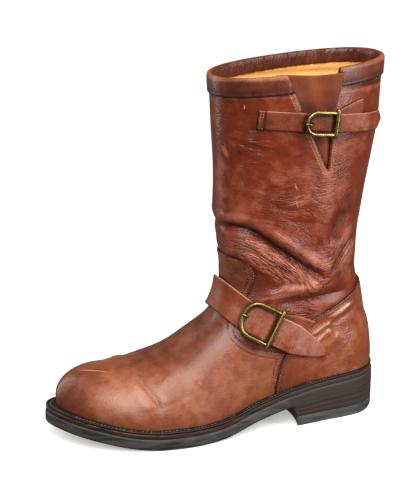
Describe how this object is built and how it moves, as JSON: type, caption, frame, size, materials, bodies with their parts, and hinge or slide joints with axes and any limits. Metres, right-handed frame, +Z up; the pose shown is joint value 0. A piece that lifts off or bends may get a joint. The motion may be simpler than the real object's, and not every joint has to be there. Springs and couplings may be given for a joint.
{
  "type": "engineer boot",
  "caption": "Left pull-on engineer boot in brown leather: hollow upper with tall shaft, buckled instep strap and buckled gusset at the collar, on a welted sole with a stacked heel.",
  "frame": {"origin": "on the floor under the middle of the heel", "axes": "+X from heel to toe, +Y to the wearer's outer side, which is left on this left boot, +Z up"},
  "size_m": [0.3093, 0.107, 0.324],
  "materials": {
    "chestnut_leather": "waxed pull-up leather, semi-gloss, creased and scuffed",
    "gusset_leather": "soft matte leather",
    "black_welt": "black edge dressing, matte",
    "midsole_leather": "worn dark brown edge",
    "heel_leather": "burnished dark brown edge",
    "sole_rubber": "matte worn rubber",
    "lift_rubber": "matte worn rubber",
    "insole_leather": "smooth natural leather",
    "antique_brass": "aged brass, satin"
  },
  "bodies": {
    "root": {"outsole": "sole_rubber", "midsole": "midsole_leather", "welt": "black_welt", "heel_stack": "heel_leather", "heel_top_lift": "lift_rubber", "insole": "insole_leather", "upper": "chestnut_leather", "vamp": "chestnut_leather", "heel_counter": "chestnut_leather", "collar_band": "chestnut_leather", "gusset": "gusset_leather", "instep_strap": "chestnut_leather", "instep_chape": "chestnut_leather", "instep_buckle_frame": "antique_brass", "instep_buckle_roller": "antique_brass", "instep_buckle_prong": "antique_brass", "top_strap": "chestnut_leather", "top_chape": "chestnut_leather", "top_buckle_frame": "antique_brass", "top_buckle_roller": "antique_brass", "top_buckle_prong": "antique_brass"}
  },
  "joints": []
}
